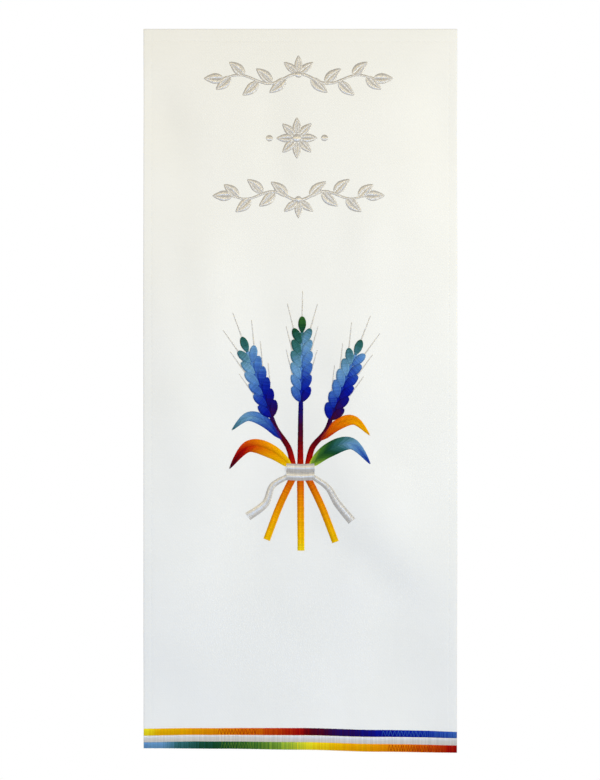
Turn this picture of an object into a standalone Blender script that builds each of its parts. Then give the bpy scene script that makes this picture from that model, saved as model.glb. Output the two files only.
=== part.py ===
# Ambo cloth: one white panel that hangs from its top edge, with turned hems and an
# embroidered border along the foot. Metres, +Z up, the face of the cloth towards -Y,
# the origin at the middle of the top edge, halfway through the cloth.

from collections import namedtuple
import math

import bmesh
import bpy
from mathutils import Matrix, Vector

# Outline of the panel
TOP_WIDTH = 0.500
FOOT_WIDTH = 0.499
LEFT_DROP = 1.147           # top edge to foot on the viewer's left
RIGHT_DROP = 1.1535         # the foot runs a little lower on the right
DROP_STEP_START = -0.130    # the foot line falls between these two places across the panel
DROP_STEP_END = 0.150

# Cloth and hems
CLOTH_THICKNESS = 0.0015
HEM_EXTRA = 0.0009          # the turned layer, on the back only
TOP_HEM = 0.022
SIDE_HEM = 0.015
HEM_STEP = 0.001            # the turned edge slopes off over this width

# Border along the foot: three bands of satin stitch, one above the other
BAND_HEIGHT = 0.0113
BAND_COUNT = 3
BAND_EDGE = 0.0012          # the stitches round off over this width at a band's edge
BAND_RISE = 0.0006          # how far the stitches stand proud of the cloth

# Mesh spacing
COLUMN_PITCH = 0.0175
ROW_PITCH = 0.023

# How the panel hangs. The held top stays flat and the folds open out below it. Each fold
# runs along a straight line and dies away over a share of its length at both ends, so a
# fold that reaches the foot has its lower end below it.
FLAT_TOP = 0.030
FOLDS_FULL_AT = 0.150
FOLD_FADE = 0.40
Fold = namedtuple("Fold", "name top_x top_z foot_x foot_z half_width rise")
FOLDS = (
    Fold("swag from the left corner", -0.360, 0.250, -0.155, -0.310, 0.040, -0.0075),
    Fold("trough by the right side", 0.180, 0.260, 0.265, -0.405, 0.050, -0.0085),
    Fold("middle upper trough", -0.055, -0.010, -0.030, -0.330, 0.035, -0.0035),
    Fold("left upper ridge", -0.160, -0.245, -0.125, -0.630, 0.050, 0.0085),
    Fold("right upper ridge", 0.100, -0.150, 0.110, -0.570, 0.035, 0.0025),
    Fold("left middle ridge", -0.260, -0.250, -0.135, -0.860, 0.045, 0.0060),
    Fold("middle trough", -0.030, -0.440, 0.170, -0.770, 0.045, -0.0055),
    Fold("right middle ridge", 0.000, -0.335, 0.200, -1.015, 0.060, 0.0085),
    Fold("pull towards the right side", -0.040, -0.735, 0.250, -0.970, 0.035, -0.0030),
    Fold("hollow low on the left", 0.035, -0.530, -0.165, -0.935, 0.060, -0.0085),
    Fold("right lower trough", 0.150, -0.810, 0.115, -1.155, 0.055, -0.0085),
    Fold("foot trough, left", -0.245, -0.955, -0.165, -1.230, 0.060, -0.0060),
    Fold("foot trough, left of middle", -0.115, -0.540, 0.045, -1.285, 0.050, -0.0030),
    Fold("foot trough, right of middle", -0.020, -0.600, 0.120, -1.365, 0.050, -0.0055),
    Fold("foot trough, right", 0.210, -0.825, 0.180, -1.440, 0.060, -0.0080),
)
Billow = namedtuple("Billow", "name wave_length shift depth growth")
BILLOWS = (
    Billow("broad billow", 0.460, 0.070, 0.0055, 1.0),
    Billow("foot flare", 0.270, -0.040, 0.0030, 2.0),
)


def clear_scene():
    for obj in list(bpy.data.objects):
        bpy.data.objects.remove(obj, do_unlink=True)


def smooth_step(value):
    value = min(1.0, max(0.0, value))
    return value * value * (3 - 2 * value)


def drop_at(x):
    """Length of the panel from its top edge to its foot, at this place across it."""
    share = smooth_step((x - DROP_STEP_START) / (DROP_STEP_END - DROP_STEP_START))
    return LEFT_DROP + (RIGHT_DROP - LEFT_DROP) * share


def fold_rise(fold, x, z):
    """A soft ridge or trough along a straight line, fading to both sides and to its ends."""
    start = Vector((fold.top_x, fold.top_z))
    run = Vector((fold.foot_x, fold.foot_z)) - start
    reach = Vector((x, z)) - start
    along = reach.dot(run) / run.length_squared
    away = (reach - run * along).length
    ends = smooth_step(along / FOLD_FADE) * smooth_step((1 - along) / FOLD_FADE)
    return fold.rise * ends * math.exp(-((away / fold.half_width) ** 2))


def billow_rise(billow, x, z):
    """A wave across the panel that grows from the held top to the free foot."""
    turn = 2 * math.pi * (x - billow.shift) / billow.wave_length
    return billow.depth * math.sin(turn) * (-z / RIGHT_DROP) ** billow.growth


def hang_rise(x, z):
    """How far the cloth stands towards the viewer from the plane of its top edge."""
    opened = smooth_step((-z - FLAT_TOP) / (FOLDS_FULL_AT - FLAT_TOP))
    folds = sum(fold_rise(fold, x, z) for fold in FOLDS)
    billows = sum(billow_rise(billow, x, z) for billow in BILLOWS)
    return opened * (folds + billows)


def band_share(above_foot):
    """1 on a band of stitches, 0 in the groove between two bands and above the border."""
    place = above_foot / BAND_HEIGHT
    if not 0 <= place < BAND_COUNT:
        return 0.0
    inside = place - math.floor(place)
    to_edge = min(inside, 1 - inside) * BAND_HEIGHT
    return min(1.0, to_edge / BAND_EDGE)


def hem_share(x, below_top, above_foot):
    """1 where the cloth is turned double, falling to 0 over the turned edge."""
    turned = (
        (below_top, TOP_HEM),
        (TOP_WIDTH / 2 - abs(x), SIDE_HEM),
        (above_foot, BAND_HEIGHT * BAND_COUNT),
    )
    return max(min(1.0, max(0.0, (depth + HEM_STEP - away) / HEM_STEP)) for away, depth in turned)


def thin_out(marks, least):
    """The marks in order, without those that nearly coincide with the one before."""
    kept = []
    for mark in sorted(marks):
        if not kept or mark - kept[-1] > least:
            kept.append(mark)
    return kept


def column_marks():
    """Places across the panel where the mesh is cut into columns."""
    half = TOP_WIDTH / 2
    hem_lines = (half - SIDE_HEM, half - SIDE_HEM - HEM_STEP)
    marks = [side * line for side in (-1, 1) for line in hem_lines]
    inner = hem_lines[-1]
    count = round(2 * inner / COLUMN_PITCH)
    marks += [-inner + 2 * inner * i / count for i in range(1, count)]
    return thin_out(marks, HEM_STEP / 4)


def row_marks():
    """Heights, on a panel of even length, where the mesh is cut into rows."""
    border = BAND_HEIGHT * BAND_COUNT
    marks = [TOP_HEM, TOP_HEM + HEM_STEP, RIGHT_DROP - border - HEM_STEP]
    for i in range(BAND_COUNT):
        foot = RIGHT_DROP - BAND_HEIGHT * i
        marks += [foot - BAND_EDGE, foot - BAND_HEIGHT + BAND_EDGE, foot - BAND_HEIGHT]
    first, last = TOP_HEM + HEM_STEP, RIGHT_DROP - border - HEM_STEP
    count = round((last - first) / ROW_PITCH)
    marks += [first + (last - first) * i / count for i in range(1, count)]
    return [-mark for mark in thin_out(marks, HEM_STEP / 4)]


def cut_flat_panel():
    """A flat panel facing -Y, cut into rows and columns along its hem and band lines."""
    bm = bmesh.new()
    bmesh.ops.create_grid(bm, x_segments=1, y_segments=1, size=0.5)
    bmesh.ops.scale(bm, vec=(TOP_WIDTH, RIGHT_DROP, 1), verts=bm.verts)
    bmesh.ops.rotate(bm, matrix=Matrix.Rotation(math.radians(90), 3, "X"), verts=bm.verts)
    bmesh.ops.translate(bm, vec=(0, 0, -RIGHT_DROP / 2), verts=bm.verts)
    for x in column_marks():
        parts = bm.verts[:] + bm.edges[:] + bm.faces[:]
        bmesh.ops.bisect_plane(bm, geom=parts, plane_co=(x, 0, 0), plane_no=(1, 0, 0))
    for z in row_marks():
        parts = bm.verts[:] + bm.edges[:] + bm.faces[:]
        bmesh.ops.bisect_plane(bm, geom=parts, plane_co=(0, 0, z), plane_no=(0, 0, 1))
    return bm


def hang_panel(bm, thickness_layer, group):
    """Moves each point to where the hanging cloth has it, and stores its share of the thickness."""
    full = CLOTH_THICKNESS + HEM_EXTRA + BAND_RISE
    top_front = -(CLOTH_THICKNESS + HEM_EXTRA) / 2
    for vert in bm.verts:
        flat_x, flat_z = vert.co.x, vert.co.z
        above_foot = RIGHT_DROP + flat_z
        stitches = BAND_RISE * band_share(above_foot)
        turned = HEM_EXTRA * hem_share(flat_x, -flat_z, above_foot)
        down = -flat_z / RIGHT_DROP
        x = flat_x * (1 + (FOOT_WIDTH / TOP_WIDTH - 1) * down)
        z = -drop_at(flat_x) * down
        vert.co = (x, top_front - hang_rise(x, z) - stitches, z)
        vert[thickness_layer][group] = (CLOTH_THICKNESS + turned + stitches) / full
    return full


def make_material(name, colour, roughness, metallic=0.0):
    material = bpy.data.materials.new(name)
    material.use_nodes = True
    shader = material.node_tree.nodes["Principled BSDF"]
    shader.inputs["Base Color"].default_value = (*colour, 1)
    shader.inputs["Roughness"].default_value = roughness
    shader.inputs["Metallic"].default_value = metallic
    return material


def make_panel(collection):
    bm = cut_flat_panel()
    thickness_layer = bm.verts.layers.deform.verify()
    full = hang_panel(bm, thickness_layer, 0)
    mesh = bpy.data.meshes.new("cloth_panel")
    bm.to_mesh(mesh)
    bm.free()
    panel = bpy.data.objects.new("cloth_panel", mesh)
    collection.objects.link(panel)
    panel.vertex_groups.new(name="thickness")
    wall = panel.modifiers.new("Thickness", "SOLIDIFY")
    wall.thickness = full
    wall.offset = -1
    wall.vertex_group = "thickness"
    mesh.shade_smooth()
    mesh.materials.append(make_material("white twill", (0.86, 0.86, 0.83), 0.75))
    return panel


def main():
    clear_scene()
    collection = bpy.data.collections.new("ambo cloth")
    bpy.context.scene.collection.children.link(collection)
    make_panel(collection)


main()
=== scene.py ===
# Ambo cloth: the looks of an embroidered hanging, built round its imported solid.
# Metres, +Z up, the face of the cloth towards -Y, the origin at the middle of the top edge.
import math
import random

import bmesh
import bpy
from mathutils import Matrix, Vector, noise


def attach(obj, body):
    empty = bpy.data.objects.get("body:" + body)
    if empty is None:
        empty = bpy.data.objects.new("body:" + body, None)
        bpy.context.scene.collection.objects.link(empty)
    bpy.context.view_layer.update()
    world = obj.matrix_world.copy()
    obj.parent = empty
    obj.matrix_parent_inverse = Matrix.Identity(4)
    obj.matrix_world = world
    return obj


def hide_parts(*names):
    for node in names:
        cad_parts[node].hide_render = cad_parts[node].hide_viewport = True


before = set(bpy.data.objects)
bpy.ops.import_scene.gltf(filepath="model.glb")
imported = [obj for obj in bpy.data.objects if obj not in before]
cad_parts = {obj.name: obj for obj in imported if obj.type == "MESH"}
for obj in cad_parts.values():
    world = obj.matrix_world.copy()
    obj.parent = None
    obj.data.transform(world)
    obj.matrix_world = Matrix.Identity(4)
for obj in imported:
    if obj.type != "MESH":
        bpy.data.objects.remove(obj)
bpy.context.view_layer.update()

# Where things are in the photo: 1.594 mm to a pixel on the cloth's own plane
photoFrame = {
    "metrePerPixel": 0.001594, "wide": 600, "high": 780,
    "middleX": 300.4, "topY": 29.0,     # the middle of the cloth's top edge, in pixels
    "away": 3.2,                        # from the camera to the cloth, in metres
}


def photoX(px):
    return (px - photoFrame["middleX"]) * photoFrame["metrePerPixel"]


def photoZ(py):
    return -(py - photoFrame["topY"]) * photoFrame["metrePerPixel"]


# The panel's cut and hems. Outline and folds are those of the solid in part.py.
panel = {
    "topWidth": 0.500, "footWidth": 0.499,
    "rightDrop": 1.1535,        # length of the longer side
    # share across the panel: where the foot is in the photo, down the picture
    "footLine": {0.0: 748.4, 0.25: 748.9, 0.50: 749.9, 0.75: 751.9, 1.0: 752.9},
    "face": -0.0012,            # where the flat top of the cloth has its face
    "thickness": 0.0010, "hemExtra": 0.0008,
    "thinnest": 0.1,            # share of the full thickness that is left at a folded edge
    "topHem": 0.022, "sideHem": 0.015, "footHem": 0.0339, "hemStep": 0.0012,
    "edgeRound": 0.0013,        # a folded edge turns over this width
    "edgeTurn": 0.45,           # each face turns in there by this share of the thickness
    "seamIn": 0.0128, "topSeamIn": 0.0195, "seamSink": 0.00018, "seamWide": 0.0016,
    "sideSeamTop": 0.004,       # the side seams stop this far below the top edge
    "pitch": 0.0042,            # mesh spacing. No two mesh lines are closer than closest
    "closest": 0.00025,
    "bandLines": [0.0118, 0.0232],      # mesh lines where the border's bands meet
}
hang = {
    "flatTop": 0.030, "foldsFullAt": 0.150, "foldFade": 0.40,
    # name: top x, top z, foot x, foot z, half width, rise
    "folds": {
        "swag from the left corner": (-0.360, 0.250, -0.155, -0.310, 0.040, -0.0075),
        "trough by the right side": (0.180, 0.260, 0.265, -0.405, 0.050, -0.0085),
        "middle upper trough": (-0.055, -0.010, -0.030, -0.330, 0.035, -0.0035),
        "left upper ridge": (-0.160, -0.245, -0.125, -0.630, 0.050, 0.0085),
        "right upper ridge": (0.100, -0.150, 0.110, -0.570, 0.035, 0.0025),
        "left middle ridge": (-0.260, -0.250, -0.135, -0.860, 0.045, 0.0060),
        "middle trough": (-0.030, -0.440, 0.170, -0.770, 0.045, -0.0055),
        "right middle ridge": (0.000, -0.335, 0.200, -1.015, 0.060, 0.0085),
        "pull towards the right side": (-0.040, -0.735, 0.250, -0.970, 0.035, -0.0030),
        "hollow low on the left": (0.035, -0.530, -0.165, -0.935, 0.060, -0.0085),
        "right lower trough": (0.150, -0.810, 0.115, -1.155, 0.055, -0.0085),
        "foot trough, left": (-0.245, -0.955, -0.165, -1.230, 0.060, -0.0060),
        "foot trough, left of middle": (-0.115, -0.540, 0.045, -1.285, 0.050, -0.0030),
        "foot trough, right of middle": (-0.020, -0.600, 0.120, -1.365, 0.050, -0.0055),
        "foot trough, right": (0.210, -0.825, 0.180, -1.440, 0.060, -0.0080),
    },
    # name: wave length, shift, depth, growth towards the foot
    "billows": {
        "broad billow": (0.460, 0.070, 0.0055, 1.0),
        "foot flare": (0.270, -0.040, 0.0030, 2.0),
    },
    # name: size of a ripple, what x and z are scaled by, depth, reach from the stitching, seed
    "puckers": {
        "border": (0.019, 1.0, 0.25, 0.00045, 0.040, 3.1),
        "left hem": (0.030, 0.3, 1.0, 0.00040, 0.022, 7.7),
        "right hem": (0.030, 0.3, 1.0, 0.00040, 0.022, 9.2),
        "field": (0.034, 1.0, 0.7, 0.00055, 0.060, 5.4),
        "whole cloth": (0.170, 1.0, 0.6, 0.00060, 1.0, 1.3),
    },
    "borderHigh": 0.034,
    "field": {"middle": -0.635, "halfWide": 0.115, "halfHigh": 0.2},
}


def smoothStep(value):
    value = min(1.0, max(0.0, value))
    return value * value * (3 - 2 * value)


def along(table, share):
    # reads a table of share: value between its rows
    marks = sorted(table)
    for low, high in zip(marks, marks[1:]):
        if share <= high:
            part = smoothStep((share - low) / (high - low))
            return table[low] + (table[high] - table[low]) * part
    return table[marks[-1]]


def flatDrop(x):
    # how far the foot is below the top edge, as if the cloth hung flat
    return -photoZ(along(panel["footLine"], x / panel["topWidth"] + 0.5))


def foldRise(x, z, fold):
    # a soft ridge or trough along a straight line, which dies away to its sides and ends
    topX, topZ, footX, footZ, halfWidth, rise = fold
    runX, runZ = footX - topX, footZ - topZ
    share = ((x - topX) * runX + (z - topZ) * runZ) / (runX * runX + runZ * runZ)
    if not 0 < share < 1:
        return 0.0
    awayX, awayZ = x - topX - runX * share, z - topZ - runZ * share
    ends = smoothStep(share / hang["foldFade"]) * smoothStep((1 - share) / hang["foldFade"])
    return rise * ends * math.exp(-(awayX * awayX + awayZ * awayZ) / halfWidth ** 2)


def pucker(name, x, z, away):
    size, scaleX, scaleZ, depth, reach, seed = hang["puckers"][name]
    ripple = noise.noise(Vector((x * scaleX / size, z * scaleZ / size, seed)))
    return depth * ripple * math.exp(-max(0.0, away) / reach)


def puckerRise(x, z):
    # small ripples where stitching draws the cloth in
    field = hang["field"]
    toBorder = z + flatDrop(x) - hang["borderHigh"]
    toSeam = panel["topWidth"] / 2 - abs(x) - panel["seamIn"]
    toField = math.hypot(x / field["halfWide"], (z - field["middle"]) / field["halfHigh"]) - 1
    rise = pucker("border", x, z, toBorder)
    rise += pucker("left hem" if x < 0 else "right hem", x, z, toSeam)
    rise += pucker("field", x, z, toField * field["halfWide"])
    return rise + pucker("whole cloth", x, z, 0.0)


def standOut(x, z):
    # how far the cloth stands towards the viewer from the plane of its top edge
    opened = smoothStep((-z - hang["flatTop"]) / (hang["foldsFullAt"] - hang["flatTop"]))
    if opened == 0:
        return 0.0
    rise = sum(foldRise(x, z, fold) for fold in hang["folds"].values())
    for waveLength, shift, depth, growth in hang["billows"].values():
        turn = 2 * math.pi * (x - shift) / waveLength
        rise += depth * math.sin(turn) * max(0.0, -z / panel["rightDrop"]) ** growth
    return opened * (rise + puckerRise(x, z))


# standOut, worked out once on a lattice and read between its points
lattice = {"left": -0.260, "top": 0.0, "pitch": 0.004, "columns": 132, "rows": 292}
latticeRises = [
    [standOut(lattice["left"] + lattice["pitch"] * i, lattice["top"] - lattice["pitch"] * j)
     for i in range(lattice["columns"])]
    for j in range(lattice["rows"])
]
print("worked out how the cloth hangs")


def clothFace(x, z):
    # y of the cloth's face
    i = (x - lattice["left"]) / lattice["pitch"]
    j = max(0.0, (lattice["top"] - z) / lattice["pitch"])
    column, row = min(int(i), lattice["columns"] - 2), min(int(j), lattice["rows"] - 2)
    i, j = i - column, j - row
    upper, lower = latticeRises[row], latticeRises[row + 1]
    rise = (upper[column] * (1 - i) + upper[column + 1] * i) * (1 - j)
    rise += (lower[column] * (1 - i) + lower[column + 1] * i) * j
    return panel["face"] - rise


# the foot's own place at each lattice column: nearer the camera it would look lower
middleZ = photoZ(photoFrame["high"] / 2)
footDrops = []
for column in range(lattice["columns"]):
    footX = lattice["left"] + lattice["pitch"] * column
    nearness = clothFace(footX, -flatDrop(footX)) / photoFrame["away"]
    footDrops.append(flatDrop(footX) + (flatDrop(footX) + middleZ) * nearness)


def dropAt(flatX):
    i = (flatX - lattice["left"]) / lattice["pitch"]
    column = min(int(i), lattice["columns"] - 2)
    return footDrops[column] + (footDrops[column + 1] - footDrops[column]) * (i - column)


def narrowing(down):
    # the panel's width at a share of the way down, as a share of its top width
    return 1 + (panel["footWidth"] / panel["topWidth"] - 1) * down


def hangPoint(flatX, above):
    # a place on the flat panel, by its distance above the foot, to where it hangs
    down = 1 - above / panel["rightDrop"]
    return flatX * narrowing(down), -dropAt(flatX) * down


def hemShare(flatX, below, above):
    # 1 where the cloth is turned double, 0 on the single cloth
    turned = (
        (below, panel["topHem"]), (panel["topWidth"] / 2 - abs(flatX), panel["sideHem"]),
        (above, panel["footHem"]),
    )
    step = panel["hemStep"]
    return max(smoothStep((depth + step - away) / step) for away, depth in turned)


def thicknessAt(flatX, above):
    return panel["thickness"] + panel["hemExtra"] * hemShare(flatX, panel["rightDrop"] - above, above)


# Materials
def linear(hexColour):
    channels = [int(hexColour[i:i + 2], 16) / 255 for i in (1, 3, 5)]
    return (*(c / 12.92 if c <= 0.04045 else ((c + 0.055) / 1.055) ** 2.4 for c in channels), 1)


def addNode(tree, kind, settings=None, links=None):
    # settings: a property name or an input's number or name, to its value. links: an input to an
    # output, or to a node whose first output it takes
    node = tree.nodes.new("ShaderNode" + kind)
    for key, value in (settings or {}).items():
        if isinstance(key, str) and hasattr(node, key):
            setattr(node, key, value)
        else:
            node.inputs[key].default_value = value
    for key, source in (links or {}).items():
        output = source.outputs[0] if isinstance(source, bpy.types.Node) else source
        tree.links.new(output, node.inputs[key])
    return node


def newMaterial(name, settings):
    material = bpy.data.materials.new(name)
    material.use_nodes = True
    tree = material.node_tree
    shader = tree.nodes["Principled BSDF"]
    for key, value in settings.items():
        shader.inputs[key].default_value = value
    return material, tree, shader


def waveScale(pitch):
    # the scale at which a wave texture, which repeats every pi / 10 metres, repeats at this pitch
    return math.pi / 10 / pitch


def makeClothMaterial():
    # polyester gabardine, woven and pressed: a smooth, matt white with a fine steep twill that
    # shows only from close by, and a soft bloom where it turns away
    settings = {
        "tint": "#f4f3f0", "shade": "#f1f0ec", "slub": (0.062, 0.062, 0.0011), "mottle": 0.11,
        # the real ribs are 0.7 mm apart and the weft threads 0.4 mm. Both are drawn about three
        # times as coarse, to show from close by
        "ribPitch": 0.0022, "ribLean": 27, "weftPitch": 0.0011, "relief": 0.00016,
    }
    material, tree, shader = newMaterial("white gabardine", {
        "Roughness": 0.72, "Sheen Weight": 0.18, "Sheen Roughness": 0.5,
        "Specular IOR Level": 0.35, "IOR": 1.5,
    })
    place = addNode(tree, "TexCoord").outputs["Object"]
    # slubs: a few weft threads a little thicker and paler, 60 mm long
    stretched = addNode(tree, "Mapping", {"Scale": [1 / size for size in settings["slub"]]}, {
        "Vector": place})
    slubs = addNode(tree, "TexNoise", {"Scale": 1.0, "Detail": 2.0}, {"Vector": stretched})
    mottle = addNode(tree, "TexNoise", {"Scale": 1 / settings["mottle"], "Detail": 3.0}, {"Vector": place})
    both = addNode(tree, "Math", {"operation": "MULTIPLY_ADD", 1: 0.5}, {0: slubs, 2: mottle})
    tone = addNode(tree, "MapRange", {"From Min": 0.5, "From Max": 1.0}, {0: both})
    colour = addNode(tree, "Mix", {
        "data_type": "RGBA", 6: linear(settings["tint"]), 7: linear(settings["shade"])},
        {"Factor": tone})
    tree.links.new(colour.outputs[2], shader.inputs["Base Color"])
    # twill: ribs that climb steeply to the right, crossed by the weft
    leaning = (0, -math.radians(settings["ribLean"]), 0)
    turned = addNode(tree, "Mapping", {"Rotation": leaning}, {"Vector": place})
    ribs = addNode(tree, "TexWave", {
        "bands_direction": "X", "Scale": waveScale(settings["ribPitch"]), "Distortion": 0.6,
        "Detail Scale": 0.4}, {"Vector": turned})
    weft = addNode(tree, "TexWave", {
        "bands_direction": "Z", "Scale": waveScale(settings["weftPitch"]), "Distortion": 0.8}, {
        "Vector": place})
    weave = addNode(tree, "Math", {"operation": "MULTIPLY_ADD", 1: 0.5}, {
        0: weft.outputs[1], 2: ribs.outputs[1]})
    bump = addNode(tree, "Bump", {"Strength": 0.55, "Distance": settings["relief"]}, {"Height": weave})
    tree.links.new(bump.outputs[0], shader.inputs["Normal"])
    return material


# the dyer's run of colours along the rainbow thread, once round
threadRun = {
    0.00: "#ffec24", 0.06: "#fcc400", 0.14: "#faa600", 0.22: "#ee7e00",     # yellow to orange
    0.28: "#d04404", 0.33: "#b40c04", 0.39: "#660310", 0.45: "#3c0530",     # red to purple
    0.50: "#1b0c66", 0.55: "#04149a", 0.59: "#1c3aa8", 0.64: "#4a7ac2",     # blue
    0.70: "#74a4cc", 0.77: "#367070", 0.84: "#144a2a", 0.90: "#3e742a",     # pale blue to green
    0.95: "#9ec03c", 1.00: "#ffec24",
}


def threadColour(tree):
    # the run of colours, read at each stitch's own place along the thread
    phase = addNode(tree, "Attribute", {"attribute_name": "threadPhase"})
    ramp = addNode(tree, "ValToRGB", {}, {0: phase.outputs["Fac"]})
    stops = ramp.color_ramp.elements
    for position, colour in threadRun.items():
        stop = stops[0] if position == 0 else stops[-1] if position == 1 else stops.new(position)
        stop.color = linear(colour)
    return ramp.outputs[0]


# how every embroidery thread is finished, in shares of one stitch's width
threadFinish = {
    # the groove's width is how far in from each edge of a stitch its painted shade reaches
    "grooveShadeWide": 0.30, "darkest": 0.90, "palest": 1.08,
    "filaments": 2,             # that show across one stitch
    "shift": 5.3,               # so that the twist of no two stitches lines up
    "relief": 0.00005,
}


def finishThread(tree, shader, colour, paintedGrooveShade, twist):
    # each stitch a little paler or darker than the next, with painted shade darkening the groove between
    # two, and twisted out of fine filaments. colour is an output, or a plain colour.
    # The UV map holds each stitch's number and the place across it, and the place along it.
    stitch = addNode(tree, "UVMap", {"uv_map": "stitch"})
    parts = addNode(tree, "SeparateXYZ", {}, {0: stitch})
    across, lengthwise = parts.outputs[0], parts.outputs[1]
    number = addNode(tree, "Math", {"operation": "FLOOR"}, {0: across})
    chance = addNode(tree, "TexWhiteNoise", {"noise_dimensions": "1D"}, {"W": number})
    within = addNode(tree, "Math", {"operation": "FRACT"}, {0: across})
    # painted shade: the colour darkens towards each edge of a stitch, as if the groove between two stitches
    # lay in shade
    groove = addNode(tree, "Math", {"operation": "PINGPONG", 1: 0.5}, {0: within})
    light = addNode(tree, "MapRange", {
        "From Max": threadFinish["grooveShadeWide"], "To Min": paintedGrooveShade, "To Max": 1.0}, {
        0: groove})
    uneven = addNode(tree, "MapRange", {
        "To Min": threadFinish["darkest"], "To Max": threadFinish["palest"]}, {0: chance})
    value = addNode(tree, "Math", {"operation": "MULTIPLY"}, {0: light, 1: uneven})
    toned = addNode(tree, "HueSaturation", {}, {"Value": value})
    if isinstance(colour, tuple):
        toned.inputs["Color"].default_value = colour
    else:
        tree.links.new(colour, toned.inputs["Color"])
    tree.links.new(toned.outputs[0], shader.inputs["Base Color"])
    shifted = addNode(tree, "Math", {
        "operation": "MULTIPLY_ADD", 1: threadFinish["shift"]}, {0: chance, 2: across})
    slant = addNode(tree, "Math", {"operation": "MULTIPLY_ADD", 1: twist}, {0: lengthwise, 2: shifted})
    turn = addNode(tree, "Math", {
        "operation": "MULTIPLY", 1: 2 * math.pi * threadFinish["filaments"]}, {0: slant})
    filament = addNode(tree, "Math", {"operation": "SINE"}, {0: turn})
    bump = addNode(tree, "Bump", {"Strength": 0.3, "Distance": threadFinish["relief"]}, {
        "Height": filament})
    tree.links.new(bump.outputs[0], shader.inputs["Normal"])
    # the gloss is drawn out across the stitch, as on a bundle of filaments
    acrossStitch = addNode(tree, "Tangent", {"direction_type": "UV_MAP", "uv_map": "stitch"})
    tree.links.new(acrossStitch.outputs[0], shader.inputs["Tangent"])
    return lengthwise


def makeThreadMaterials():
    made = {}
    # trilobal polyester, space-dyed and laid in satin stitch: clear bright colour with a silky
    # gloss. The filaments reflect from inside, so part of the gloss has the dye's own colour
    material, tree, shader = newMaterial("rainbow embroidery thread", {
        "Roughness": 0.42, "Metallic": 0.30, "Anisotropic": 0.5,
        "Specular IOR Level": 0.03, "IOR": 1.5})
    finishThread(tree, shader, threadColour(tree), paintedGrooveShade=0.62, twist=3.0)
    made["rainbow"] = material
    # the same thread in silver grey: dull where it faces the light, almost white at its gloss.
    # The border's is a lighter shade than the ornament's.
    for kind, name, shade in (
        ("silver", "silver-grey embroidery thread", "#ddd8d1"),
        ("paleSilver", "pale silver-grey embroidery thread", "#ebe4da"),
    ):
        material, tree, shader = newMaterial(name, {
            "Roughness": 0.34, "Metallic": 0.30, "Anisotropic": 0.75, "Sheen Weight": 0.1,
            "Sheen Roughness": 0.35, "Specular IOR Level": 0.5, "IOR": 1.5})
        finishThread(tree, shader, linear(shade), paintedGrooveShade=0.74, twist=3.0)
        made[kind] = material
    # the wrong side of the embroidery: matt white bobbin thread down the middle of each stitch,
    # with the coloured thread drawn through along its two edges
    spun = {"Roughness": 0.6, "Sheen Weight": 0.1, "Specular IOR Level": 0.4, "IOR": 1.5}
    for kind, name, colour in (
        ("rainbow", "rainbow", None),
        ("silver", "silver-grey", "#ddd8d1"),
        ("paleSilver", "pale silver-grey", "#e4dfd8"),
    ):
        material, tree, shader = newMaterial(f"bobbin side of the {name} stitching", spun)
        white = addNode(tree, "Mix", {"data_type": "RGBA", 7: linear("#efeeea")})
        if colour:
            white.inputs[6].default_value = linear(colour)
        else:
            tree.links.new(threadColour(tree), white.inputs[6])
        lengthwise = finishThread(tree, shader, white.outputs[2], paintedGrooveShade=0.75, twist=2.0)
        fromEnd = addNode(tree, "Math", {"operation": "PINGPONG", 1: 0.5}, {0: lengthwise})
        # the white's edge wanders, about every 2.4 mm
        place = addNode(tree, "TexCoord").outputs["Object"]
        rough = addNode(tree, "TexNoise", {"Scale": 420.0, "Detail": 1.0}, {"Vector": place})
        ragged = addNode(tree, "Math", {"operation": "MULTIPLY_ADD", 1: 0.25}, {0: rough, 2: fromEnd})
        share = addNode(tree, "MapRange", {"From Min": 0.24, "From Max": 0.36}, {0: ragged})
        tree.links.new(share.outputs[0], white.inputs["Factor"])
        made[kind + "Reverse"] = material
    # spun polyester sewing thread: plain matt white
    material, tree, shader = newMaterial("white sewing thread", spun)
    finishThread(tree, shader, linear("#f3f2ee"), paintedGrooveShade=0.8, twist=2.0)
    made["sewing"] = made["sewingReverse"] = material
    return made


clothMaterial = makeClothMaterial()
threads = makeThreadMaterials()
print("made the cloth and thread materials")


# Helpers for pieces
def addObject(name, data):
    thing = bpy.data.objects.new(name, data)
    bpy.context.scene.collection.objects.link(thing)
    return thing


def newPiece(name, bm, material):
    mesh = bpy.data.meshes.new(name)
    bm.to_mesh(mesh)
    bm.free()
    mesh.shade_smooth()
    mesh.materials.append(material)
    piece = addObject(name, mesh)
    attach(piece, "root")
    return piece


def thinOut(marks, least):
    kept = []
    for mark in sorted(marks):
        if not kept or mark - kept[-1] > least:
            kept.append(mark)
    return kept


# The cloth
def clothMarks(length, nearStart, nearEnd):
    # mesh lines over a length, closer at its hems and seams
    marks = [0.0, length] + nearStart + [length - mark for mark in nearEnd]
    count = round(length / panel["pitch"])
    return thinOut(marks + [length * i / count for i in range(1, count)], panel["closest"])


def seamDip(away, at):
    return panel["seamSink"] * math.exp(-(((away - at) / panel["seamWide"]) ** 2))


def edgeTurn(away):
    # how far the folded edge has turned back at this distance from it
    share = min(1.0, away / panel["edgeRound"])
    turn = 1 - math.sqrt(1 - (1 - share) ** 2)
    return turn * (panel["thickness"] + panel["hemExtra"]) * panel["edgeTurn"]


def hemMarks(hem):
    # mesh lines over the slope of a hem's turned edge
    return [hem, hem + panel["hemStep"] / 2, hem + panel["hemStep"]]


def seamMarks(seamIn):
    beside = panel["seamWide"] * 0.6
    return [seamIn - beside, seamIn, seamIn + beside]


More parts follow.
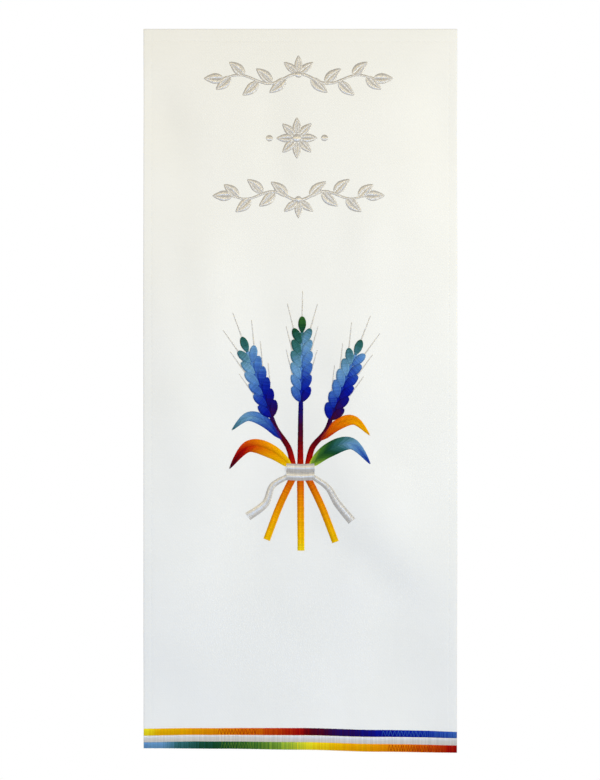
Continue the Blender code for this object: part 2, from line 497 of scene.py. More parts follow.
def makeCloth():
    fold = [0.0003, 0.0008, panel["edgeRound"]]     # mesh lines over a folded edge
    side = fold + seamMarks(panel["seamIn"]) + hemMarks(panel["sideHem"])
    top = fold + seamMarks(panel["topSeamIn"]) + hemMarks(panel["topHem"])
    foot = fold + panel["bandLines"] + hemMarks(panel["footHem"])
    columns = clothMarks(panel["topWidth"], side, side)
    rows = clothMarks(panel["rightDrop"], foot, top)
    bm = bmesh.new()
    across, down = len(columns) - 1, len(rows) - 1
    bmesh.ops.create_grid(bm, x_segments=across, y_segments=down, size=0.5)
    group = bm.verts.layers.deform.verify()
    full = panel["thickness"] + panel["hemExtra"]
    for vert in bm.verts:
        flatX = columns[round((vert.co.x + 0.5) * across)] - panel["topWidth"] / 2
        above = rows[round((vert.co.y + 0.5) * down)]
        x, z = hangPoint(flatX, above)
        toSide = panel["topWidth"] / 2 - abs(flatX)
        toTop = panel["rightDrop"] - above
        sideDip = seamDip(toSide, panel["seamIn"]) if toTop > panel["sideSeamTop"] else 0.0
        dip = max(sideDip, seamDip(toTop, panel["topSeamIn"]))
        turned = edgeTurn(min(toSide, toTop, above))
        vert.co = (x, clothFace(x, z) + dip + turned, z)
        thick = thicknessAt(flatX, above) - dip - 2 * turned
        vert[group][0] = max(panel["thinnest"], thick / full)
    bmesh.ops.recalc_face_normals(bm, faces=bm.faces)
    if sum(face.normal.y for face in bm.faces) > 0:
        bmesh.ops.reverse_faces(bm, faces=bm.faces)
    cloth = newPiece("cloth_sheet", bm, clothMaterial)
    cloth.vertex_groups.new(name="thickness")
    wall = cloth.modifiers.new("Thickness", "SOLIDIFY")
    wall.thickness, wall.offset, wall.vertex_group = full, -1, "thickness"
    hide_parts("cloth_panel")
    return cloth


cloth = makeCloth()
print("hung the cloth")


# Satin stitch: one ribbed, closed strip for each run of stitches
class Stitching:
    # one piece of embroidery: runs of stitches on the cloth's face, or on its back
    def __init__(self, name, thread, seed, back=False):
        self.name, self.thread, self.back = name + ("_reverse" if back else ""), thread, back
        self.satin = {**satin, **reverseSatin} if back else satin
        self.mesh = bpy.data.meshes.new(self.name)
        self.whole = bmesh.new()
        self.chance = random.Random(seed)
        self.stitches = 0

    def surface(self, x, z):
        # y of the cloth under the stitches, which follow its folded edges round
        down = -z / dropAt(x)
        flatX = x / narrowing(down)
        toSide = max(0.0, panel["topWidth"] / 2 - abs(flatX))
        above = max(0.0, panel["rightDrop"] * (1 - down))
        turned = edgeTurn(min(toSide, above))
        if not self.back:
            return clothFace(x, z) + turned
        return clothFace(x, z) + thicknessAt(flatX, above) - turned

    def run(self, first, second, phaseAt, **changes):
        # first and second give the strip's two edges, as (x, z) at a share of its length, and
        # phaseAt the place there on the thread's run of colours. changes are to satin, below
        style = {**self.satin, **changes}
        count, faces, steps = style["stitches"], style["faces"], style["steps"]
        across, long = count * faces, len(steps) - 1
        chance, ragged, out = self.chance, style["ragged"], 1 if self.back else -1
        starts = [chance.uniform(-ragged, ragged) for _ in range(count)]
        ends = [chance.uniform(-ragged, ragged) for _ in range(count)]
        rises = [chance.uniform(style["lowest"], 1.0) for _ in range(count)]
        colours = [
            (phaseAt((k + 0.5) / count) + chance.uniform(-1, 1) * style["stray"]) % 1.0
            for k in range(count)]
        bm = bmesh.new()
        uvLayer = bm.loops.layers.uv.new("stitch")
        phaseLayer = bm.faces.layers.float.new("threadPhase")
        # one row more than the stitch has, which comes back under the strip to close it
        made = bmesh.ops.create_grid(bm, x_segments=across, y_segments=long + 1, size=0.5)["verts"]
        edges = [(*first(i / across), *second(i / across)) for i in range(across + 1)]
        places, rim = {}, []
        for vert in made:
            i, row = round((vert.co.x + 0.5) * across), round((vert.co.y + 0.5) * (long + 1))
            places[vert] = (i, row)
            j = row % (long + 1)
            ax, az, bx, bz = edges[i]
            stitch, part, share = min(i // faces, count - 1), (i % faces) / faces, steps[j]
            if part:
                length = max(style["shortest"], math.hypot(bx - ax, bz - az))
                share += (starts[stitch] * (1 - share) + ends[stitch] * share) / length
            x, z = ax + (bx - ax) * share, az + (bz - az) * share
            height = -style["sink"]
            if 0 < j < long:
                # padding swells a stitch in its middle, and its ridge falls away at both ends
                swell = 1 - abs(2 * steps[j] - 1) ** 3
                rounded = math.sin(math.pi * part) * min(1.0, swell * 2.5)
                height = style["lift"] + style["pad"] * swell + style["ridge"] * rises[stitch] * rounded
            elif row != long:
                rim.append(vert)
            vert.co = (x, self.surface(x, z) + out * height, z)
        facing = 0.0
        for face in bm.faces:
            corners = [places[loop.vert] for loop in face.loops]
            face[phaseLayer] = colours[min(i for i, row in corners) // faces]
            for loop, (i, row) in zip(face.loops, corners):
                loop[uvLayer].uv = (self.stitches + i / faces, steps[row % (long + 1)])
            if max(row for i, row in corners) <= long:
                face.normal_update()
                facing += face.normal.y * face.calc_area()
        if facing * out < 0:
            bmesh.ops.reverse_faces(bm, faces=bm.faces)
        bmesh.ops.remove_doubles(bm, verts=rim, dist=1e-7)
        bmesh.ops.holes_fill(bm, edges=[edge for edge in bm.edges if edge.is_boundary], sides=0)
        bm.to_mesh(self.mesh)
        bm.free()
        self.whole.from_mesh(self.mesh)
        self.stitches += count + 1

    def finish(self):
        bpy.data.meshes.remove(self.mesh)
        material = threads[self.thread + "Reverse" if self.back else self.thread]
        piece = newPiece(self.name, self.whole, material)
        print("stitched", self.name, len(piece.data.polygons), "faces")


# mesh lines along a stitch, as shares of its length
shortSteps = (0.0, 0.04, 0.5, 0.96, 1.0)
grainSteps = (0.0, 0.06, 0.26, 0.5, 0.74, 0.94, 1.0)
bandSteps = (0.0, 0.018, 0.055, 0.12, 0.5, 0.88, 0.982, 1.0)
bandBackSteps = (0.0, 0.018, 0.055, 0.12, 0.5, 0.96, 1.0)
seamSteps = (0.0, 0.2, 0.8, 1.0)
satin = {
    "pitch": 0.0009,                    # from stitch to stitch in the motifs
    "faces": 4, "steps": shortSteps,    # mesh faces across a stitch, mesh lines along it
    "lift": 0.00008, "sink": 0.0004,    # the stitches lie this high, their ends this deep
    "pad": 0.00025, "ridge": 0.00028,   # height of the padding, and of each stitch's ridge
    "lowest": 0.75,                     # the lowest ridge, as a share of the highest
    "ragged": 0.00022,                  # how far the ends of stitches are out of line
    "shortest": 0.0015,                 # a shorter stitch is no more ragged than this one
    "stray": 0.012,                     # how far a stitch strays along the run of colours
}
# on the back: flatter, and drawn half as wide again in the motifs
reverseSatin = {"pitch": 0.00135, "faces": 2, "pad": 0.0001, "ridge": 0.00018}


def grey(share):
    # silver and white threads have no run of colours, so any place on it will do
    return 0.5


# The border along the foot
border = {
    "stitchPitch": 0.0008, "sideIn": 0.0002, "overlap": 0.0002,
    # share across the panel: how far the bands' edges are above the foot
    "foot": {0.0: 0.00005},
    "lowerTop": {0.0: 0.0098, 0.18: 0.0118, 0.5: 0.0125, 0.9: 0.0126, 1.0: 0.0119},
    "silverTop": {0.0: 0.0204, 0.18: 0.0223, 0.5: 0.0234, 0.9: 0.0241, 1.0: 0.0233},
    "upperTop": {0.0: 0.0316, 0.18: 0.0333, 0.5: 0.0350, 0.9: 0.0350, 1.0: 0.0337},
    # share across the panel: place on the thread's run of colours
    "upperRun": {
        0.0: 0.0, 0.06: 0.08, 0.22: 0.17, 0.34: 0.23, 0.42: 0.29, 0.50: 0.335, 0.52: 0.38, 0.56: 0.42,
        0.62: 0.477, 0.78: 0.545, 0.88: 0.575, 0.94: 0.600, 1.0: 0.625},
    "lowerRun": {
        0.0: 0.69, 0.05: 0.71, 0.12: 0.78, 0.19: 0.83, 0.26: 0.85, 0.34: 0.895, 0.42: 0.927, 0.47: 0.953,
        0.50: 0.977, 0.525: 1.0, 0.56: 1.032, 0.68: 1.12, 0.80: 1.185, 0.90: 1.255, 1.0: 1.34},
    "silverRun": {0.0: 0.5},            # grey all along, so any place will do
    "stray": 0.019, "silverPad": 0.00015,
    # zigzag threads that lie over the satin where one colour gives way to the next:
    # (from share, to share, pitch, place on the run)
    "upperZigzags": ((0.235, 0.36, 0.0052, 0.292), (0.76, 0.90, 0.0060, 0.625)),
    "lowerZigzags": ((0.245, 0.345, 0.0044, 0.912), (0.78, 0.95, 0.0042, 1.31)),
    "zigzag": {
        "inset": 0.0009, "wide": 0.00062, "lift": 0.00058, "ridge": 0.0004,
        "uneven": (0.7, 1.35), "stray": 0.01,
    },
}
bandEdges = (border["foot"], border["lowerTop"], border["silverTop"], border["upperTop"])


def bandEdge(number, above=0.0):
    half = panel["topWidth"] / 2 - border["sideIn"]
    return lambda share: hangPoint(-half + 2 * half * share, along(bandEdges[number], share) + above)


def stitchBand(work, number, run, **changes):
    # each band overlaps its neighbours a little
    topBand = len(bandEdges) - 2
    low = -border["overlap"] if number > 0 else 0.0
    high = border["overlap"] if number < topBand else 0.0
    work.run(bandEdge(number, low), bandEdge(number + 1, high), lambda share: along(run, share),
             stitches=round(panel["topWidth"] / border["stitchPitch"]), stray=border["stray"], **changes)


def layThread(work, start, end, wide, place, **changes):
    # one thread by itself, from start to end, as thick on the back as on the face
    (ax, az), (bx, bz) = start, end
    length = math.hypot(bx - ax, bz - az)
    sideX, sideZ = -(bz - az) / length * wide / 2, (bx - ax) / length * wide / 2
    style = {**satin, "stitches": 1, "pad": 0.0, "ragged": 0.0, "stray": 0.0, **changes}
    work.run(lambda t: (ax + sideX * (1 - 2 * t), az + sideZ * (1 - 2 * t)),
             lambda t: (bx + sideX * (1 - 2 * t), bz + sideZ * (1 - 2 * t)), lambda t: place, **style)


def zigzag(work, number, runs):
    thread = border["zigzag"]
    low, high = bandEdge(number, thread["inset"]), bandEdge(number + 1, -thread["inset"])
    for start, end, pitch, place in runs:
        share, up = start, True
        while share < end:
            step = pitch / 2 * work.chance.uniform(*thread["uneven"]) / panel["topWidth"]
            first, second = (low, high) if up else (high, low)
            strayed = place + work.chance.uniform(-thread["stray"], thread["stray"])
            layThread(work, first(share), second(share + step), thread["wide"], strayed,
                      lift=thread["lift"], ridge=thread["ridge"])
            share, up = share + step, not up


def makeBorder():
    bands = (
        # piece, number up from the foot, run of colours, zigzags, thread, padding
        ("border_upper", 2, border["upperRun"], border["upperZigzags"], "rainbow", satin["pad"]),
        ("border_silver", 1, border["silverRun"], (), "paleSilver", border["silverPad"]),
        ("border_lower", 0, border["lowerRun"], border["lowerZigzags"], "rainbow", satin["pad"]),
    )
    for name, number, run, zigzags, thread, pad in bands:
        work = Stitching(name, thread, 11 + number)
        stitchBand(work, number, run, steps=bandSteps, pad=pad)
        zigzag(work, number, zigzags)
        work.finish()
        back = Stitching(name, thread, 21 + number, back=True)
        stitchBand(back, number, run, steps=bandBackSteps)
        back.finish()


makeBorder()


# Shapes for the motifs
def splinePoint(points, share):
    # a smooth line through the points
    spans = len(points) - 1
    place = min(spans - 1e-6, max(0.0, share * spans))
    k, t = int(place), place - int(place)
    before, start = points[max(k - 1, 0)], points[k]
    end, after = points[k + 1], points[min(k + 2, spans)]
    return tuple(
        0.5 * (2 * s + (e - b) * t + (2 * b - 5 * s + 4 * e - a) * t * t + (3 * s - b - 3 * e + a) * t ** 3)
        for b, s, e, a in zip(before, start, end, after))


def splineSide(points, share, away):
    # a place beside the line, away to its left
    near = 0.01
    x, z = splinePoint(points, share)
    ax, az = splinePoint(points, max(0.0, share - near))
    bx, bz = splinePoint(points, min(1.0, share + near))
    length = math.hypot(bx - ax, bz - az)
    return x - (bz - az) / length * away, z + (bx - ax) / length * away


def splineLength(points):
    steps = 24
    places = [splinePoint(points, i / steps) for i in range(steps + 1)]
    return sum(math.dist(a, b) for a, b in zip(places, places[1:]))


def stitchColumn(work, points, widthAt, phaseAt=grey, **changes):
    # satin across a line, edge to edge
    count = max(4, round(splineLength(points) / work.satin["pitch"]))
    work.run(lambda t: splineSide(points, t, widthAt(t) / 2),
             lambda t: splineSide(points, t, -widthAt(t) / 2), phaseAt, stitches=count, **changes)


leafShape = {
    "slant": 0.14,              # how far a stitch runs on towards the tip, as a share of the leaf
    "fullness": 0.84,           # 1 is widest in the middle, and less is widest nearer the base
    "overlap": 0.0008,          # each row reaches this far past the midrib
    "blunt": 0.0004,            # half the width at the base and tip
}


def stitchLeaf(work, points, wide, phaseAt=grey):
    # two slanting rows of satin that meet at the midrib
    slant, blunt = leafShape["slant"], leafShape["blunt"]
    count = max(6, round(splineLength(points) * (1 - slant) / work.satin["pitch"]))

    def reach(t):
        return wide / 2 * math.sin(math.pi * t ** leafShape["fullness"]) if 0 < t < 1 else 0.0

    for side in (1, -1):
        rib = lambda t: splineSide(points, t * (1 - slant), -side * leafShape["overlap"])
        rim = lambda t: splineSide(
            points, slant + t * (1 - slant), side * (reach(slant + t * (1 - slant)) + blunt))
        work.run(rib, rim, phaseAt, stitches=count)


# a grain is blunt at both ends and fullest past its middle
grainShape = {"cutOff": 0.04, "fullness": 1.12, "roundness": 0.75}


def stitchGrain(work, centre, angle, long, wide, phaseAt, **changes):
    # one padded almond. angle is from straight up, clockwise
    def almond(t):
        cutOff = grainShape["cutOff"]
        within = min(1.0, max(0.0, cutOff + (1 - 2 * cutOff) * t))
        return wide * math.sin(math.pi * within ** grainShape["fullness"]) ** grainShape["roundness"]

    dx, dz = math.sin(angle) * long / 2, math.cos(angle) * long / 2
    points = [(centre[0] - dx, centre[1] - dz), centre, (centre[0] + dx, centre[1] + dz)]
    stitchColumn(work, points, almond, phaseAt, **changes)


# The field: a wheat sheaf, tied, in rainbow thread with silver beards and ribbon
sheaf = {
    "tie": (0.0, -0.706), "tieHigh": 0.027, "tieWide": 0.045, "tieLift": 0.0006, "tiePad": 0.0010,
    "tieSag": 0.0010, "tieCover": 1.02,         # its two rows of satin sag and overlap a little
    "tailWide": (0.0085, 0.0150),               # at the knot and at the end
    "stemWide": 0.0108, "stemTaper": 0.55, "footWide": 0.0118,
    "tuck": 0.40,                               # stalks run under the tie by this share of it
    "spread": 1.6, "spreadUp": 0.028,           # how they open out just above it
    "straight": 0.03, "stemEnd": 0.9,           # in line below the ear, and this far up inside it
    "grainLong": 0.0300, "grainWide": 0.0158, "grainLift": 0.0003, "grainPad": 0.0010,
    "grainStep": 0.0185, "grainTilt": 27, "grainOut": 0.0086, "rows": 6,
    "fullestRow": 2.5, "shrink": 0.045,         # grains get smaller from the fullest row
    "leftShade": 0.03, "rightShade": -0.05, "tipShade": 0.06,   # shifts along the run of colours
    "beardLong": 0.042, "beardWide": 0.0024, "beardTilt": 15, "beardFrom": 0.46,
    "beardRagged": 0.0001, "beardTaper": 0.5,
    "beardsOver": 0.028,                        # the highest that a beard reaches over topZ
    # name: tie x, ear x, ear z, tip x, tip z
    "stalks": {
        "left": (-0.0120, -0.050, -0.607, -0.094, -0.489),
        "right": (0.0120, 0.052, -0.611, 0.097, -0.495),
        "middle": (0.000, 0.001, -0.582, 0.003, -0.457),
    },
    # name: tie x, foot x, foot z
    "feet": {
        "left": (-0.0125, -0.054, -0.815),
        "right": (0.0125, 0.056, -0.818),
        "middle": (0.000, 0.001, -0.832),
    },
    # name: width, place on the run at its base and tip
    "leaves": {
        "long left": (0.0235, 0.02, 0.42), "long right": (0.0235, 0.98, 0.58),
        "short left": (0.0180, 0.55, 0.76), "short right": (0.0180, 0.31, 0.08),
    },
    "leafLines": {
        "long left": ((-0.010, -0.702), (-0.046, -0.674), (-0.084, -0.666), (-0.114, -0.702)),
        "long right": ((0.010, -0.702), (0.044, -0.672), (0.082, -0.661), (0.112, -0.694)),
        "short left": ((-0.028, -0.657), (-0.056, -0.627), (-0.084, -0.618), (-0.110, -0.640)),
        "short right": ((0.029, -0.659), (0.059, -0.631), (0.086, -0.624), (0.111, -0.648)),
    },
    "tails": {
        "left tail": ((-0.016, -0.712), (-0.044, -0.728), (-0.056, -0.757), (-0.084, -0.778)),
        "right tail": ((0.016, -0.712), (0.043, -0.730), (0.059, -0.756), (0.082, -0.784)),
    },
    # the run of colours climbs the sheaf from its foot to its top
    "footRun": 0.02, "topRun": 0.86, "footZ": -0.832, "topZ": -0.440,
}


def runAtHeight(z):
    share = (z - sheaf["footZ"]) / (sheaf["topZ"] - sheaf["footZ"])
    return sheaf["footRun"] + (sheaf["topRun"] - sheaf["footRun"]) * share


def stitchStems(work):
    tieX, tieZ = sheaf["tie"]
    tuck = sheaf["tieHigh"] * sheaf["tuck"]
    straight, end = sheaf["straight"], sheaf["stemEnd"]
    for atTie, earX, earZ, tipX, tipZ in sheaf["stalks"].values():
        lean = (tipX - earX) / (tipZ - earZ) * straight
        points = (
            (tieX + atTie, tieZ + tuck),
            (tieX + atTie * sheaf["spread"], tieZ + tuck + sheaf["spreadUp"]),
            (earX - lean, earZ - straight),
            (earX, earZ),
            ((earX + tipX) / 2, (earZ + tipZ) / 2),
            (tipX * end + earX * (1 - end), tipZ * end + earZ * (1 - end)),
        )
        stitchColumn(work, points, lambda t: sheaf["stemWide"] * (1 - sheaf["stemTaper"] * t),
                     lambda t: runAtHeight(splinePoint(points, t)[1]))
    for atTie, footX, footZ in sheaf["feet"].values():
        middle = ((tieX + atTie + footX) / 2, (tieZ + footZ) / 2)
        points = ((tieX + atTie, tieZ - tuck), middle, (footX, footZ))
        stitchColumn(work, points, lambda t: sheaf["footWide"],
                     lambda t: runAtHeight(splinePoint(points, t)[1]))


def stitchBeard(work, start, heading):
    # a bristle from the tip of a grain
    x, z = start
    room = (sheaf["topZ"] + sheaf["beardsOver"] - z) / math.cos(heading)
    reach = min(sheaf["beardLong"], room)
    end = (x + math.sin(heading) * reach, z + math.cos(heading) * reach)
    middle = ((x + end[0]) / 2, (z + end[1]) / 2)
    stitchColumn(work, (start, middle, end),
                 lambda t: sheaf["beardWide"] * (1 - sheaf["beardTaper"] * t), ragged=sheaf["beardRagged"])


def stitchEars(ears, beards):
    style = {"lift": sheaf["grainLift"]}
    if not ears.back:
        style.update(pad=sheaf["grainPad"], steps=grainSteps)
    for atTie, earX, earZ, tipX, tipZ in sheaf["stalks"].values():
        lean = math.atan2(tipX - earX, tipZ - earZ)
        ux, uz = math.sin(lean), math.cos(lean)
        for row in range(sheaf["rows"] + 1):
            # two grains in a row, and one at the tip
            last = row == sheaf["rows"]
            up = sheaf["grainStep"] * row
            size = 1 - sheaf["shrink"] * abs(row - sheaf["fullestRow"])
            long, wide = sheaf["grainLong"] * size, sheaf["grainWide"] * size
            for side in (0,) if last else (-1, 1):
                out = side * sheaf["grainOut"] * size
                x, z = earX + ux * up + uz * out, earZ + uz * up - ux * out
                angle = lean + side * math.radians(sheaf["grainTilt"])
                base = runAtHeight(z) + sheaf["rightShade" if side > 0 else "leftShade"]
                stitchGrain(ears, (x, z), angle, long, wide,
                            lambda t: base + sheaf["tipShade"] * t, **style)
                if last or row % 2 == 1:
                    away = long * sheaf["beardFrom"]
                    start = (x + math.sin(angle) * away, z + math.cos(angle) * away)
                    heading = lean + side * math.radians(sheaf["beardTilt"])
                    stitchBeard(beards, start, heading)


def stitchRibbon(work):
    # two tails under a band
    tieX, tieZ = sheaf["tie"]
    start, end = sheaf["tailWide"]
    for points in sheaf["tails"].values():
        stitchColumn(work, points, lambda t: start + (end - start) * t)
    high, half = sheaf["tieHigh"] / 2, sheaf["tieWide"] / 2
    for row in (-0.5, 0.5):
        z = tieZ + row * high
        points = ((tieX - half, z), (tieX, z - sheaf["tieSag"]), (tieX + half, z))
        stitchColumn(work, points, lambda t: high * sheaf["tieCover"],
                     lift=sheaf["tieLift"], pad=sheaf["tiePad"])


def stitchSheaf(back):
    stems = Stitching("sheaf_stems", "rainbow", 31, back)
    stitchStems(stems)
    stems.finish()

    ears = Stitching("sheaf_grains", "rainbow", 41, back)
    beards = Stitching("sheaf_beards", "silver", 51, back)
    stitchEars(ears, beards)
    ears.finish()
    beards.finish()

    leaves = Stitching("sheaf_leaves", "rainbow", 61, back)
    for name, (wide, baseRun, tipRun) in sheaf["leaves"].items():
        stitchLeaf(leaves, sheaf["leafLines"][name], wide, lambda t: baseRun + (tipRun - baseRun) * t)
    leaves.finish()

    ribbon = Stitching("sheaf_ribbon", "silver", 71, back)
    stitchRibbon(ribbon)
    ribbon.finish()


stitchSheaf(back=False)
stitchSheaf(back=True)


# Three rows of silver ornament near the top
ornament = {
    "stemWide": 0.0055, "stemTaper": 0.35, "stemSpans": 16, "waveTaper": 0.35,
    "leafLong": 0.036, "leafWide": 0.0168, "leafTilt": 42, "leafCurl": 12, "leavesEachSide": 5,
    "leafShrink": 0.03,                         # each leaf is shorter than the one before
    "firstLeaf": 0.9, "pastLast": 0.45,         # bare stem before and after, in leaf spacings
    "endLeafAt": 0.985, "endLeafLong": 0.9, "endLeafOut": 0.85,
    "budLong": 0.027, "budWide": 0.0125, "budTilt": 52, "budUp": 0.0020,
    "sideBudUp": 0.0015, "sideBudOut": 0.002,
    "dot": 0.011, "dotPad": 0.0010, "dotDown": 0.0015,
    "dotEnds": 0.03,                            # a dot leaves out its shortest stitches
    # name: middle x, middle z, half length, waves, height of the wave, way up
    "garlands": {
        "upper_garland": (-0.003, -0.0797, 0.151, 2.5, 0.0085, 1),
        "lower_garland": (-0.003, -0.2654, 0.137, 2.5, 0.0075, -1),
    },
    "rosette": {
        "middle": (-0.0055, -0.1737), "petals": 8, "petalLong": 0.0265, "petalWide": 0.0135,
        "petalIn": 0.0062, "eye": 0.0142, "eyePad": 0.0008, "dotsOut": 0.0440,
    },
}


def stitchDot(work, centre, across, **changes):
    ends = ornament["dotEnds"]

    def rim(t, side):
        turn = math.pi * (ends + (1 - 2 * ends) * t)
        return centre[0] - across / 2 * math.cos(turn), centre[1] + side * across / 2 * math.sin(turn)

    count = max(5, round(across / work.satin["pitch"]))
    work.run(lambda t: rim(t, -1), lambda t: rim(t, 1), grey, stitches=count, **changes)


def leafPoints(start, angle, long, bend):
    # angle is from straight up, clockwise. bend curls the leaf as it goes
    points, spans = [start], 3
    for span in range(spans):
        heading = angle + bend * span / (spans - 1)
        x, z = points[-1]
        points.append((x + math.sin(heading) * long / spans, z + math.cos(heading) * long / spans))
    return points


def silverLeaf(work, start, angle, long, wide, bend=0.0):
    stitchLeaf(work, leafPoints(start, angle, long, bend), wide)


def stitchGarland(work, middleX, middleZ, halfLong, waves, high, up):
    # a wavy stem to each side, with leaves over and under it, and three buds and a dot between
    leafLong, leafWide = ornament["leafLong"], ornament["leafWide"]
    budLong, budWide = ornament["budLong"], ornament["budWide"]
    tilt, count = math.radians(ornament["leafTilt"]), ornament["leavesEachSide"]
    upward = 0 if up > 0 else math.pi
    for side in (-1, 1):
        reach = halfLong - leafLong * ornament["endLeafOut"]

        def stemAt(share):
            wave = high * math.cos(math.pi * waves * share) * (1 - ornament["waveTaper"] * share)
            return middleX + side * reach * share, middleZ + up * wave

        spans = ornament["stemSpans"]
        stitchColumn(work, [stemAt(i / spans) for i in range(spans + 1)],
                     lambda t: ornament["stemWide"] * (1 - ornament["stemTaper"] * t))
        for leaf in range(count):
            share = (leaf + ornament["firstLeaf"]) / (count + ornament["pastLast"])
            turn = -up if leaf % 2 == 0 else up
            angle = side * (tilt if turn > 0 else math.pi - tilt)
            curl = side * turn * math.radians(ornament["leafCurl"])
            long = leafLong * (1 - ornament["leafShrink"] * leaf)
            silverLeaf(work, stemAt(share), angle, long, leafWide, curl)
        silverLeaf(work, stemAt(ornament["endLeafAt"]), side * math.radians(90),
                   leafLong * ornament["endLeafLong"], leafWide)
        bud = (middleX + side * ornament["sideBudOut"], middleZ + up * (high + ornament["sideBudUp"]))
        silverLeaf(work, bud, upward + side * up * math.radians(ornament["budTilt"]), budLong, budWide)
    bud = (middleX, middleZ + up * (high + ornament["budUp"]))
    silverLeaf(work, bud, upward, budLong, budWide)
    stitchDot(work, (middleX, middleZ + up * high - up * ornament["dotDown"]), ornament["dot"],
              pad=ornament["dotPad"])


def stitchRosette(work):
    # petals round a padded eye, with a dot to each side
    rosette = ornament["rosette"]
    x, z = rosette["middle"]
    for petal in range(rosette["petals"]):
        angle = 2 * math.pi * petal / rosette["petals"]
        start = (x + math.sin(angle) * rosette["petalIn"], z + math.cos(angle) * rosette["petalIn"])
        silverLeaf(work, start, angle, rosette["petalLong"], rosette["petalWide"])
    stitchDot(work, (x, z), rosette["eye"], pad=rosette["eyePad"])
    for side in (-1, 1):
        stitchDot(work, (x + side * rosette["dotsOut"], z), ornament["dot"])


def stitchOrnament(back):
    for name, row in ornament["garlands"].items():
        garland = Stitching(name, "silver", 81, back)
        stitchGarland(garland, *row)
        garland.finish()
    rosette = Stitching("rosette", "silver", 91, back)
    stitchRosette(rosette)
    rosette.finish()


stitchOrnament(back=False)
stitchOrnament(back=True)


# The hems' seams, sewn in white
seam = {
    "spacing": 0.0037, "gap": 0.2,      # a share of the spacing is left bare between two stitches
    "wide": 0.00055, "lift": -0.00030, "ridge": 0.00032,
}


def sewSeam(work, start, end):
    # start and end are (flat x, distance above the foot)
    count, bare = round(math.dist(start, end) / seam["spacing"]), seam["gap"] / 2
    for i in range(count):
        ends = []
        for share in ((i + bare) / count, (i + 1 - bare) / count):
            flatX, above = (a + (b - a) * share for a, b in zip(start, end))
            ends.append(hangPoint(flatX, above))
        layThread(work, *ends, seam["wide"], grey(0), lift=seam["lift"], ridge=seam["ridge"],
                  steps=seamSteps)


def makeSeams():
    side = panel["topWidth"] / 2 - panel["seamIn"]
    top = panel["rightDrop"] - panel["topSeamIn"]
    for back in (False, True):
        work = Stitching("hem_seams", "sewing", 101, back)
        sewSeam(work, (-side, panel["footHem"]), (-side, top))
        sewSeam(work, (side, panel["footHem"]), (side, top))
        sewSeam(work, (-side, top), (side, top))
        work.finish()


makeSeams()


# Stage, lights and camera
def makeFloor():
    # a pale floor that fades into the white round it, and is clear from below
    settings = {"z": -1.30, "radius": 3.2, "clearFrom": 0.15, "clearAt": 0.50}
    bm = bmesh.new()
    bmesh.ops.create_circle(bm, cap_ends=True, segments=96, radius=settings["radius"])
    bmesh.ops.translate(bm, vec=(0, 0, settings["z"]), verts=bm.verts)
    mesh = bpy.data.meshes.new("floor")
    bm.to_mesh(mesh)
    bm.free()
    material, tree, shader = newMaterial("matt white studio floor", {
        "Base Color": linear("#eeeeec"), "Roughness": 0.9, "Specular IOR Level": 0.2})
    place = addNode(tree, "TexCoord").outputs["Object"]
    flat = addNode(tree, "VectorMath", {"operation": "MULTIPLY", 1: (1, 1, 0)}, {0: place})
    away = addNode(tree, "VectorMath", {"operation": "LENGTH"}, {0: flat})
    share = addNode(tree, "MapRange", {
        "interpolation_type": "SMOOTHSTEP", "From Min": settings["clearFrom"],
        "From Max": settings["clearAt"]}, {0: away.outputs[1]})
    below = addNode(tree, "NewGeometry").outputs["Backfacing"]
    clearness = addNode(tree, "Math", {"operation": "MAXIMUM"}, {0: share, 1: below})
    clear = addNode(tree, "BsdfTransparent")
    mixed = addNode(tree, "MixShader", {}, {0: clearness, 1: shader, 2: clear})
    tree.links.new(mixed.outputs[0], tree.nodes["Material Output"].inputs["Surface"])
    mesh.materials.append(material)
    floor = addObject("floor", mesh)


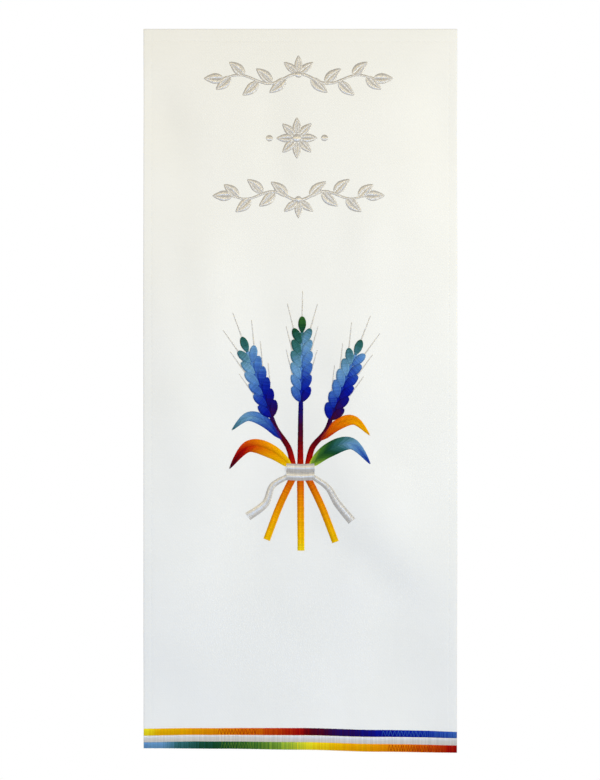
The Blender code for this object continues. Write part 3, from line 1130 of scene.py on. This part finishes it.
def makeWorld():
    world = bpy.data.worlds.new("white studio")
    bpy.context.scene.world = world
    world.use_nodes = True
    tree = world.node_tree
    ground = tree.nodes["Background"]
    ground.inputs["Color"].default_value = (0.96, 0.94, 1.0, 1)
    ground.inputs["Strength"].default_value = 0.26
    white = addNode(tree, "Background", {"Color": (1, 1, 1, 1), "Strength": 1.0})
    ray = addNode(tree, "LightPath")
    mixed = addNode(tree, "MixShader", {}, {0: ray.outputs["Is Camera Ray"], 1: ground, 2: white})
    tree.links.new(mixed.outputs[0], tree.nodes["World Output"].inputs["Surface"])


def addLight(name, place, target, size, watts, colour):
    light = bpy.data.lights.new(name, "AREA")
    light.shape, light.size, light.size_y = "RECTANGLE", size[0], size[1]
    light.energy, light.color = watts, colour
    lamp = addObject(name, light)
    lamp.location = place
    lamp.visible_camera = False
    lamp.rotation_euler = (Vector(target) - Vector(place)).to_track_quat("-Z", "Y").to_euler()


def makeLights():
    lights = {
        # name: place, aimed at, size, watts, colour
        "key softbox, right": ((1.50, -1.00, -0.30), (0.0, 0.0, -0.42), (0.8, 0.9), 17.4, (1.0, 0.98, 0.83)),
        "warm fill, left": ((-0.7, -1.60, 0.05), (0.0, 0.0, -0.25), (1.0, 1.0), 12.7, (1.0, 0.825, 0.38)),
        "cool fill, low": ((-0.3, -1.90, -0.90), (0.0, 0.0, -0.80), (1.2, 0.5), 16.0, (0.37, 0.59, 1.0)),
        "back fill": ((0.6, 2.4, -0.2), (0.0, 0.0, -0.60), (1.6, 1.2), 48, (1.0, 0.98, 0.95)),
    }
    for name, (place, target, size, watts, colour) in lights.items():
        addLight(name, place, target, size, watts, colour)


def makeCamera():
    # straight on, at half the frame's height, so far off that the sides stay upright
    away, sensor = photoFrame["away"], 36.0
    high = photoFrame["high"] * photoFrame["metrePerPixel"]
    camera = addObject("camera", bpy.data.cameras.new("camera"))
    camera.data.sensor_width = sensor
    camera.data.lens = sensor * away / high
    camera.location = (photoX(photoFrame["wide"] / 2), -away, photoZ(photoFrame["high"] / 2))
    camera.rotation_euler = (math.radians(90), 0, 0)
    bpy.context.scene.camera = camera


makeFloor()
makeWorld()
makeLights()
makeCamera()
bpy.context.scene.view_settings.view_transform = "Standard"
print("set the stage, lights and camera")
